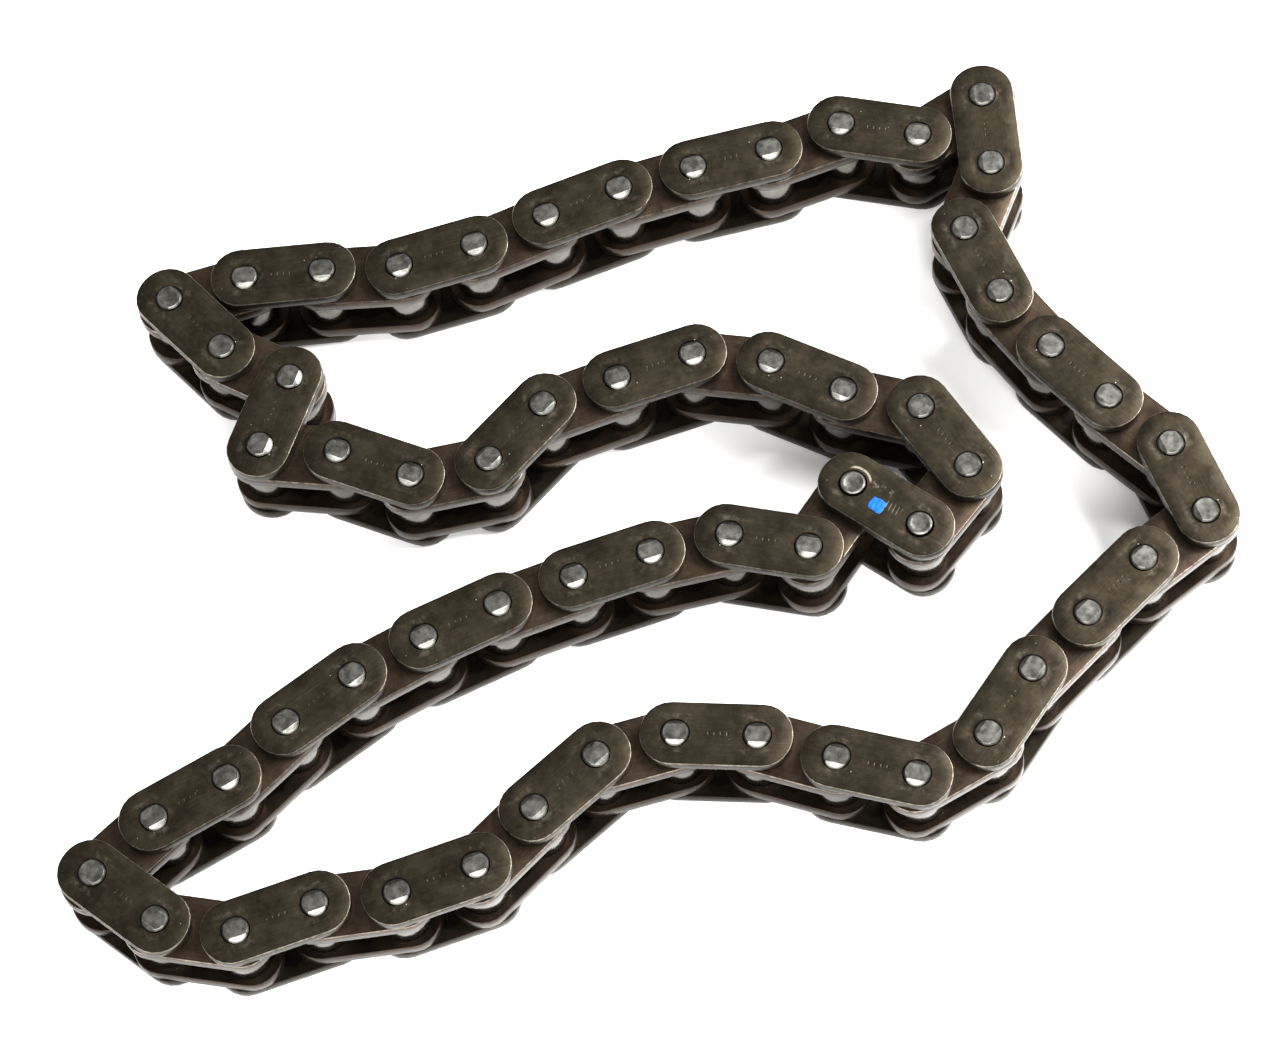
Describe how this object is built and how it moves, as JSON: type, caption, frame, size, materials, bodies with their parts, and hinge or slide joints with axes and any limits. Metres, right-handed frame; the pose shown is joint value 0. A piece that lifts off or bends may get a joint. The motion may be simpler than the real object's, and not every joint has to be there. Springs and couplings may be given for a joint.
{
  "type": "roller chain",
  "caption": "Endless single-strand roller chain with straight-sided plates, staked pins and one riveted joining link, lying on its side in a loose loop.",
  "frame": {"origin": "middle of the chain's bounding box, at the height of the surface that the lower pin ends stand on", "axes": "+Z along the pins, up from the surface; +X along the long way of the loop, +Y away from the side that the chain is usually seen from"},
  "size_m": [0.1434, 0.0974, 0.0134],
  "materials": {
    "outer_link_steel": "dark bronze-brown oxide steel plates on grey steel pins",
    "inner_link_steel": "smooth red-brown oxide steel plates, grey steel bushes and rollers",
    "joining_link_steel": "dark oxide steel plates with riveted pins and a dab of blue marking paint"
  },
  "bodies": {
    "outer_link_01": {"outer_link_01": "outer_link_steel"},
    "inner_link_01": {"inner_link_01": "inner_link_steel"},
    "outer_link_02": {"outer_link_02": "outer_link_steel"},
    "inner_link_02": {"inner_link_02": "inner_link_steel"},
    "outer_link_03": {"outer_link_03": "outer_link_steel"},
    "inner_link_03": {"inner_link_03": "inner_link_steel"},
    "outer_link_04": {"outer_link_04": "outer_link_steel"},
    "inner_link_04": {"inner_link_04": "inner_link_steel"},
    "outer_link_05": {"outer_link_05": "outer_link_steel"},
    "inner_link_05": {"inner_link_05": "inner_link_steel"},
    "outer_link_06": {"outer_link_06": "outer_link_steel"},
    "inner_link_06": {"inner_link_06": "inner_link_steel"},
    "outer_link_07": {"outer_link_07": "outer_link_steel"},
    "inner_link_07": {"inner_link_07": "inner_link_steel"},
    "joining_link": {"joining_link": "joining_link_steel"},
    "inner_link_08": {"inner_link_08": "inner_link_steel"},
    "outer_link_09": {"outer_link_09": "outer_link_steel"},
    "inner_link_09": {"inner_link_09": "inner_link_steel"},
    "outer_link_10": {"outer_link_10": "outer_link_steel"},
    "inner_link_10": {"inner_link_10": "inner_link_steel"},
    "outer_link_11": {"outer_link_11": "outer_link_steel"},
    "inner_link_11": {"inner_link_11": "inner_link_steel"},
    "outer_link_12": {"outer_link_12": "outer_link_steel"},
    "inner_link_12": {"inner_link_12": "inner_link_steel"},
    "outer_link_13": {"outer_link_13": "outer_link_steel"},
    "inner_link_13": {"inner_link_13": "inner_link_steel"},
    "outer_link_14": {"outer_link_14": "outer_link_steel"},
    "inner_link_14": {"inner_link_14": "inner_link_steel"},
    "outer_link_15": {"outer_link_15": "outer_link_steel"},
    "inner_link_15": {"inner_link_15": "inner_link_steel"},
    "outer_link_16": {"outer_link_16": "outer_link_steel"},
    "inner_link_16": {"inner_link_16": "inner_link_steel"},
    "outer_link_17": {"outer_link_17": "outer_link_steel"},
    "inner_link_17": {"inner_link_17": "inner_link_steel"},
    "outer_link_18": {"outer_link_18": "outer_link_steel"},
    "inner_link_18": {"inner_link_18": "inner_link_steel"},
    "outer_link_19": {"outer_link_19": "outer_link_steel"},
    "inner_link_19": {"inner_link_19": "inner_link_steel"},
    "outer_link_20": {"outer_link_20": "outer_link_steel"},
    "inner_link_20": {"inner_link_20": "inner_link_steel"},
    "outer_link_21": {"outer_link_21": "outer_link_steel"},
    "inner_link_21": {"inner_link_21": "inner_link_steel"},
    "outer_link_22": {"outer_link_22": "outer_link_steel"},
    "inner_link_22": {"inner_link_22": "inner_link_steel"},
    "outer_link_23": {"outer_link_23": "outer_link_steel"},
    "inner_link_23": {"inner_link_23": "inner_link_steel"},
    "outer_link_24": {"outer_link_24": "outer_link_steel"},
    "inner_link_24": {"inner_link_24": "inner_link_steel"},
    "outer_link_25": {"outer_link_25": "outer_link_steel"},
    "inner_link_25": {"inner_link_25": "inner_link_steel"},
    "outer_link_26": {"outer_link_26": "outer_link_steel"},
    "inner_link_26": {"inner_link_26": "inner_link_steel"},
    "outer_link_27": {"outer_link_27": "outer_link_steel"},
    "inner_link_27": {"inner_link_27": "inner_link_steel"},
    "outer_link_28": {"outer_link_28": "outer_link_steel"},
    "inner_link_28": {"inner_link_28": "inner_link_steel"},
    "outer_link_29": {"outer_link_29": "outer_link_steel"},
    "inner_link_29": {"inner_link_29": "inner_link_steel"},
    "outer_link_30": {"outer_link_30": "outer_link_steel"},
    "inner_link_30": {"inner_link_30": "inner_link_steel"}
  },
  "joints": [
    {"name": "pin_52_hinge", "type": "hinge", "parent": "outer_link_26", "child": "inner_link_26", "pos_m": [0.03532, 0.04415, 0.0067], "axis": [0, 0, 1], "range_deg": [-1.53, 1.53]},
    {"name": "pin_53_hinge", "type": "hinge", "parent": "inner_link_26", "child": "outer_link_27", "pos_m": [0.02594, 0.04249, 0.0067], "axis": [0, 0, 1], "range_deg": [-1.55, 1.55]},
    {"name": "pin_54_hinge", "type": "hinge", "parent": "outer_link_27", "child": "inner_link_27", "pos_m": [0.01643, 0.04198, 0.0067], "axis": [0, 0, 1], "range_deg": [-7.22, 7.22]},
    {"name": "pin_55_hinge", "type": "hinge", "parent": "inner_link_27", "child": "outer_link_28", "pos_m": [0.00696, 0.04098, 0.0067], "axis": [0, 0, 1], "range_deg": [-8.01, 8.01]},
    {"name": "pin_56_hinge", "type": "hinge", "parent": "outer_link_28", "child": "inner_link_28", "pos_m": [-0.00239, 0.03915, 0.0067], "axis": [0, 0, 1], "range_deg": [-4.27, 4.27]},
    {"name": "pin_57_hinge", "type": "hinge", "parent": "inner_link_28", "child": "outer_link_29", "pos_m": [-0.01167, 0.037, 0.0067], "axis": [0, 0, 1], "range_deg": [-4.02, 4.02]},
    {"name": "pin_58_hinge", "type": "hinge", "parent": "outer_link_29", "child": "inner_link_29", "pos_m": [-0.02114, 0.036, 0.0067], "axis": [0, 0, 1], "range_deg": [-6.67, 6.67]},
    {"name": "pin_59_hinge", "type": "hinge", "parent": "inner_link_29", "child": "outer_link_30", "pos_m": [-0.03058, 0.03732, 0.0067], "axis": [0, 0, 1], "range_deg": [-10.78, 10.78]},
    {"name": "pin_60_hinge", "type": "hinge", "parent": "outer_link_30", "child": "inner_link_30", "pos_m": [-0.04005, 0.0383, 0.0067], "axis": [0, 0, 1], "range_deg": [-3.3, 3.3]},
    {"name": "pin_01_hinge", "type": "hinge", "parent": "inner_link_30", "child": "outer_link_01", "pos_m": [-0.04952, 0.0373, 0.0067], "axis": [0, 0, 1], "range_deg": [-0.7, 0.7]},
    {"name": "pin_02_hinge", "type": "hinge", "parent": "outer_link_01", "child": "inner_link_01", "pos_m": [-0.04407, 0.02949, 0.0067], "axis": [0, 0, 1], "range_deg": [-2.16, 2.16]},
    {"name": "pin_03_hinge", "type": "hinge", "parent": "inner_link_01", "child": "outer_link_02", "pos_m": [-0.03646, 0.02375, 0.0067], "axis": [0, 0, 1], "range_deg": [-1.55, 1.55]},
    {"name": "pin_04_hinge", "type": "hinge", "parent": "outer_link_02", "child": "inner_link_02", "pos_m": [-0.04122, 0.0155, 0.0067], "axis": [0, 0, 1], "range_deg": [-6.66, 6.66]},
    {"name": "pin_05_hinge", "type": "hinge", "parent": "inner_link_02", "child": "outer_link_03", "pos_m": [-0.03207, 0.01287, 0.0067], "axis": [0, 0, 1], "range_deg": [-7.39, 7.39]},
    {"name": "pin_06_hinge", "type": "hinge", "parent": "outer_link_03", "child": "inner_link_03", "pos_m": [-0.02391, 0.00796, 0.0067], "axis": [0, 0, 1], "range_deg": [-9.34, 9.34]},
    {"name": "pin_07_hinge", "type": "hinge", "parent": "inner_link_03", "child": "outer_link_04", "pos_m": [-0.01439, 0.00812, 0.0067], "axis": [0, 0, 1], "range_deg": [-3.28, 3.28]},
    {"name": "pin_08_hinge", "type": "hinge", "parent": "outer_link_04", "child": "inner_link_04", "pos_m": [-0.00688, 0.01398, 0.0067], "axis": [0, 0, 1], "range_deg": [-1.55, 1.55]},
    {"name": "pin_09_hinge", "type": "hinge", "parent": "inner_link_04", "child": "outer_link_05", "pos_m": [0.00251, 0.01562, 0.0067], "axis": [0, 0, 1], "range_deg": [-5.69, 5.69]},
    {"name": "pin_10_hinge", "type": "hinge", "parent": "outer_link_05", "child": "inner_link_05", "pos_m": [0.01194, 0.01694, 0.0067], "axis": [0, 0, 1], "range_deg": [-12, 12]},
    {"name": "pin_11_hinge", "type": "hinge", "parent": "inner_link_05", "child": "outer_link_06", "pos_m": [0.021, 0.01399, 0.0067], "axis": [0, 0, 1], "range_deg": [-20.65, 20.65]},
    {"name": "pin_12_hinge", "type": "hinge", "parent": "outer_link_06", "child": "inner_link_06", "pos_m": [0.02879, 0.00852, 0.0067], "axis": [0, 0, 1], "range_deg": [-1.56, 1.56]},
    {"name": "pin_13_hinge", "type": "hinge", "parent": "inner_link_06", "child": "outer_link_07", "pos_m": [0.03742, 0.00449, 0.0067], "axis": [0, 0, 1], "range_deg": [-22, 22]},
    {"name": "pin_14_hinge", "type": "hinge", "parent": "outer_link_07", "child": "inner_link_07", "pos_m": [0.04144, -0.00415, 0.0067], "axis": [0, 0, 1], "range_deg": [-1.55, 1.55]},
    {"name": "pin_51_hinge", "type": "hinge", "parent": "outer_link_26", "child": "inner_link_25", "pos_m": [0.04421, 0.04074, 0.0067], "axis": [0, 0, 1], "range_deg": [-12, 12]},
    {"name": "pin_50_hinge", "type": "hinge", "parent": "inner_link_25", "child": "outer_link_25", "pos_m": [0.05298, 0.04447, 0.0067], "axis": [0, 0, 1], "range_deg": [-2.78, 2.78]},
    {"name": "pin_49_hinge", "type": "hinge", "parent": "outer_link_25", "child": "inner_link_24", "pos_m": [0.05215, 0.03498, 0.0067], "axis": [0, 0, 1], "range_deg": [-10.28, 10.28]},
    {"name": "pin_48_hinge", "type": "hinge", "parent": "inner_link_24", "child": "outer_link_24", "pos_m": [0.04724, 0.02682, 0.0067], "axis": [0, 0, 1], "range_deg": [-3.1, 3.1]},
    {"name": "pin_47_hinge", "type": "hinge", "parent": "outer_link_24", "child": "inner_link_23", "pos_m": [0.04971, 0.01762, 0.0067], "axis": [0, 0, 1], "range_deg": [-3.16, 3.16]},
    {"name": "pin_46_hinge", "type": "hinge", "parent": "inner_link_23", "child": "outer_link_23", "pos_m": [0.05418, 0.00921, 0.0067], "axis": [0, 0, 1], "range_deg": [-3.13, 3.13]},
    {"name": "pin_45_hinge", "type": "hinge", "parent": "outer_link_23", "child": "inner_link_22", "pos_m": [0.05952, 0.00132, 0.0067], "axis": [0, 0, 1], "range_deg": [-3.39, 3.39]},
    {"name": "pin_44_hinge", "type": "hinge", "parent": "inner_link_22", "child": "outer_link_22", "pos_m": [0.06538, -0.00618, 0.0067], "axis": [0, 0, 1], "range_deg": [-3.09, 3.09]},
    {"name": "pin_43_hinge", "type": "hinge", "parent": "outer_link_22", "child": "inner_link_21", "pos_m": [0.06753, -0.01546, 0.0067], "axis": [0, 0, 1], "range_deg": [-5.12, 5.12]},
    {"name": "pin_42_hinge", "type": "hinge", "parent": "inner_link_21", "child": "outer_link_21", "pos_m": [0.05912, -0.01993, 0.0067], "axis": [0, 0, 1], "range_deg": [-2.98, 2.98]},
    {"name": "pin_41_hinge", "type": "hinge", "parent": "outer_link_21", "child": "inner_link_20", "pos_m": [0.05131, -0.02539, 0.0067], "axis": [0, 0, 1], "range_deg": [-2.97, 2.97]},
    {"name": "pin_40_hinge", "type": "hinge", "parent": "inner_link_20", "child": "outer_link_20", "pos_m": [0.0436, -0.03098, 0.0067], "axis": [0, 0, 1], "range_deg": [-4.16, 4.16]},
    {"name": "pin_39_hinge", "type": "hinge", "parent": "outer_link_20", "child": "inner_link_19", "pos_m": [0.03698, -0.03783, 0.0067], "axis": [0, 0, 1], "range_deg": [-3.07, 3.07]},
    {"name": "pin_38_hinge", "type": "hinge", "parent": "inner_link_19", "child": "outer_link_19", "pos_m": [0.02803, -0.04108, 0.0067], "axis": [0, 0, 1], "range_deg": [-9.19, 9.19]},
    {"name": "pin_37_hinge", "type": "hinge", "parent": "outer_link_19", "child": "inner_link_18", "pos_m": [0.01933, -0.0372, 0.0067], "axis": [0, 0, 1], "range_deg": [-7.45, 7.45]},
    {"name": "pin_36_hinge", "type": "hinge", "parent": "inner_link_18", "child": "outer_link_18", "pos_m": [0.01085, -0.03287, 0.0067], "axis": [0, 0, 1], "range_deg": [-3.18, 3.18]},
    {"name": "pin_35_hinge", "type": "hinge", "parent": "outer_link_18", "child": "inner_link_17", "pos_m": [0.00157, -0.03072, 0.0067], "axis": [0, 0, 1], "range_deg": [-9.6, 9.6]},
    {"name": "pin_34_hinge", "type": "hinge", "parent": "inner_link_17", "child": "outer_link_17", "pos_m": [-0.00792, -0.03154, 0.0067], "axis": [0, 0, 1], "range_deg": [-13.26, 13.26]},
    {"name": "pin_33_hinge", "type": "hinge", "parent": "outer_link_17", "child": "inner_link_16", "pos_m": [-0.016, -0.03658, 0.0067], "axis": [0, 0, 1], "range_deg": [-3.46, 3.46]},
    {"name": "pin_32_hinge", "type": "hinge", "parent": "inner_link_16", "child": "outer_link_16", "pos_m": [-0.02371, -0.04218, 0.0067], "axis": [0, 0, 1], "range_deg": [-17, 17]},
    {"name": "pin_31_hinge", "type": "hinge", "parent": "outer_link_16", "child": "inner_link_15", "pos_m": [-0.03312, -0.04366, 0.0067], "axis": [0, 0, 1], "range_deg": [-1.53, 1.53]},
    {"name": "pin_30_hinge", "type": "hinge", "parent": "inner_link_15", "child": "outer_link_15", "pos_m": [-0.04263, -0.04315, 0.0067], "axis": [0, 0, 1], "range_deg": [-3.25, 3.25]},
    {"name": "pin_29_hinge", "type": "hinge", "parent": "outer_link_15", "child": "inner_link_14", "pos_m": [-0.05204, -0.04463, 0.0067], "axis": [0, 0, 1], "range_deg": [-3.51, 3.51]},
    {"name": "pin_28_hinge", "type": "hinge", "parent": "inner_link_14", "child": "outer_link_14", "pos_m": [-0.06104, -0.04152, 0.0067], "axis": [0, 0, 1], "range_deg": [-1.54, 1.54]},
    {"name": "pin_27_hinge", "type": "hinge", "parent": "outer_link_14", "child": "inner_link_13", "pos_m": [-0.06753, -0.03455, 0.0067], "axis": [0, 0, 1], "range_deg": [-3.18, 3.18]},
    {"name": "pin_26_hinge", "type": "hinge", "parent": "inner_link_13", "child": "outer_link_13", "pos_m": [-0.05964, -0.02922, 0.0067], "axis": [0, 0, 1], "range_deg": [-13.52, 13.52]},
    {"name": "pin_25_hinge", "type": "hinge", "parent": "outer_link_13", "child": "inner_link_12", "pos_m": [-0.05069, -0.02596, 0.0067], "axis": [0, 0, 1], "range_deg": [-8.57, 8.57]},
    {"name": "pin_24_hinge", "type": "hinge", "parent": "inner_link_12", "child": "outer_link_12", "pos_m": [-0.04289, -0.02049, 0.0067], "axis": [0, 0, 1], "range_deg": [-10.08, 10.08]},
    {"name": "pin_23_hinge", "type": "hinge", "parent": "outer_link_12", "child": "inner_link_11", "pos_m": [-0.03441, -0.01616, 0.0067], "axis": [0, 0, 1], "range_deg": [-13.91, 13.91]},
    {"name": "pin_22_hinge", "type": "hinge", "parent": "inner_link_11", "child": "outer_link_11", "pos_m": [-0.02541, -0.01305, 0.0067], "axis": [0, 0, 1], "range_deg": [-2.44, 2.44]},
    {"name": "pin_21_hinge", "type": "hinge", "parent": "outer_link_11", "child": "inner_link_10", "pos_m": [-0.01621, -0.01058, 0.0067], "axis": [0, 0, 1], "range_deg": [-1.54, 1.54]},
    {"name": "pin_20_hinge", "type": "hinge", "parent": "inner_link_10", "child": "outer_link_10", "pos_m": [-0.00683, -0.00892, 0.0067], "axis": [0, 0, 1], "range_deg": [-1.55, 1.55]},
    {"name": "pin_19_hinge", "type": "hinge", "parent": "outer_link_10", "child": "inner_link_09", "pos_m": [0.0026, -0.00758, 0.0067], "axis": [0, 0, 1], "range_deg": [-2.46, 2.46]},
    {"name": "pin_18_hinge", "type": "hinge", "parent": "inner_link_09", "child": "outer_link_09", "pos_m": [0.01212, -0.00724, 0.0067], "axis": [0, 0, 1], "range_deg": [-20, 20]},
    {"name": "pin_17_hinge", "type": "hinge", "parent": "outer_link_09", "child": "inner_link_08", "pos_m": [0.02102, -0.01065, 0.0067], "axis": [0, 0, 1], "range_deg": [-20.09, 20.09]},
    {"name": "pin_16_hinge", "type": "hinge", "parent": "inner_link_08", "child": "joining_link", "pos_m": [0.02763, -0.00379, 0.0067], "axis": [0, 0, 1], "range_deg": [-16.62, 16.62]}
  ],
  "couplings": [
    {"joint": "pin_52_hinge", "follows": "pin_10_hinge", "ratio": -0.1274},
    {"joint": "pin_53_hinge", "follows": "pin_10_hinge", "ratio": -0.129},
    {"joint": "pin_54_hinge", "follows": "pin_10_hinge", "ratio": -0.6019},
    {"joint": "pin_55_hinge", "follows": "pin_10_hinge", "ratio": -0.6675},
    {"joint": "pin_56_hinge", "follows": "pin_10_hinge", "ratio": -0.3556},
    {"joint": "pin_57_hinge", "follows": "pin_10_hinge", "ratio": 0.3351},
    {"joint": "pin_58_hinge", "follows": "pin_10_hinge", "ratio": 0.5555},
    {"joint": "pin_59_hinge", "follows": "pin_10_hinge", "ratio": 0.898},
    {"joint": "pin_60_hinge", "follows": "pin_10_hinge", "ratio": 0.2747},
    {"joint": "pin_01_hinge", "follows": "pin_10_hinge", "ratio": -0.0582},
    {"joint": "pin_02_hinge", "follows": "pin_10_hinge", "ratio": -0.1801},
    {"joint": "pin_03_hinge", "follows": "pin_10_hinge", "ratio": 0.1289},
    {"joint": "pin_04_hinge", "follows": "pin_10_hinge", "ratio": -0.5546},
    {"joint": "pin_05_hinge", "follows": "pin_10_hinge", "ratio": -0.6156},
    {"joint": "pin_06_hinge", "follows": "pin_10_hinge", "ratio": -0.7781},
    {"joint": "pin_07_hinge", "follows": "pin_10_hinge", "ratio": 0.273},
    {"joint": "pin_08_hinge", "follows": "pin_10_hinge", "ratio": 0.1288},
    {"joint": "pin_09_hinge", "follows": "pin_10_hinge", "ratio": 0.4739},
    {"joint": "pin_11_hinge", "follows": "pin_13_hinge", "ratio": -0.9385},
    {"joint": "pin_12_hinge", "follows": "pin_13_hinge", "ratio": -0.071},
    {"joint": "pin_14_hinge", "follows": "pin_13_hinge", "ratio": 0.0705},
    {"joint": "pin_50_hinge", "follows": "pin_51_hinge", "ratio": -0.2318},
    {"joint": "pin_49_hinge", "follows": "pin_51_hinge", "ratio": -0.8567},
    {"joint": "pin_48_hinge", "follows": "pin_51_hinge", "ratio": 0.2586},
    {"joint": "pin_47_hinge", "follows": "pin_51_hinge", "ratio": -0.2633},
    {"joint": "pin_46_hinge", "follows": "pin_51_hinge", "ratio": 0.2606},
    {"joint": "pin_45_hinge", "follows": "pin_51_hinge", "ratio": -0.2827},
    {"joint": "pin_44_hinge", "follows": "pin_51_hinge", "ratio": 0.2575},
    {"joint": "pin_43_hinge", "follows": "pin_51_hinge", "ratio": -0.427},
    {"joint": "pin_42_hinge", "follows": "pin_51_hinge", "ratio": 0.2483},
    {"joint": "pin_41_hinge", "follows": "pin_51_hinge", "ratio": 0.2475},
    {"joint": "pin_40_hinge", "follows": "pin_51_hinge", "ratio": -0.3466},
    {"joint": "pin_39_hinge", "follows": "pin_51_hinge", "ratio": 0.2559},
    {"joint": "pin_38_hinge", "follows": "pin_51_hinge", "ratio": 0.7653},
    {"joint": "pin_37_hinge", "follows": "pin_51_hinge", "ratio": -0.6207},
    {"joint": "pin_36_hinge", "follows": "pin_51_hinge", "ratio": -0.2648},
    {"joint": "pin_35_hinge", "follows": "pin_32_hinge", "ratio": -0.5646},
    {"joint": "pin_34_hinge", "follows": "pin_32_hinge", "ratio": -0.7801},
    {"joint": "pin_33_hinge", "follows": "pin_32_hinge", "ratio": 0.2035},
    {"joint": "pin_31_hinge", "follows": "pin_32_hinge", "ratio": -0.09},
    {"joint": "pin_30_hinge", "follows": "pin_32_hinge", "ratio": 0.1909},
    {"joint": "pin_29_hinge", "follows": "pin_32_hinge", "ratio": 0.2065},
    {"joint": "pin_28_hinge", "follows": "pin_32_hinge", "ratio": -0.0908},
    {"joint": "pin_27_hinge", "follows": "pin_32_hinge", "ratio": -0.1871},
    {"joint": "pin_26_hinge", "follows": "pin_32_hinge", "ratio": -0.7955},
    {"joint": "pin_25_hinge", "follows": "pin_32_hinge", "ratio": -0.5042},
    {"joint": "pin_24_hinge", "follows": "pin_32_hinge", "ratio": 0.5931},
    {"joint": "pin_23_hinge", "follows": "pin_32_hinge", "ratio": 0.8181},
    {"joint": "pin_22_hinge", "follows": "pin_13_hinge", "ratio": 0.1108},
    {"joint": "pin_21_hinge", "follows": "pin_13_hinge", "ratio": -0.0702},
    {"joint": "pin_20_hinge", "follows": "pin_13_hinge", "ratio": -0.0703},
    {"joint": "pin_19_hinge", "follows": "pin_13_hinge", "ratio": -0.1116},
    {"joint": "pin_18_hinge", "follows": "pin_13_hinge", "ratio": -0.909},
    {"joint": "pin_17_hinge", "follows": "pin_13_hinge", "ratio": 0.9131},
    {"joint": "pin_16_hinge", "follows": "pin_13_hinge", "ratio": -0.7554}
  ]
}
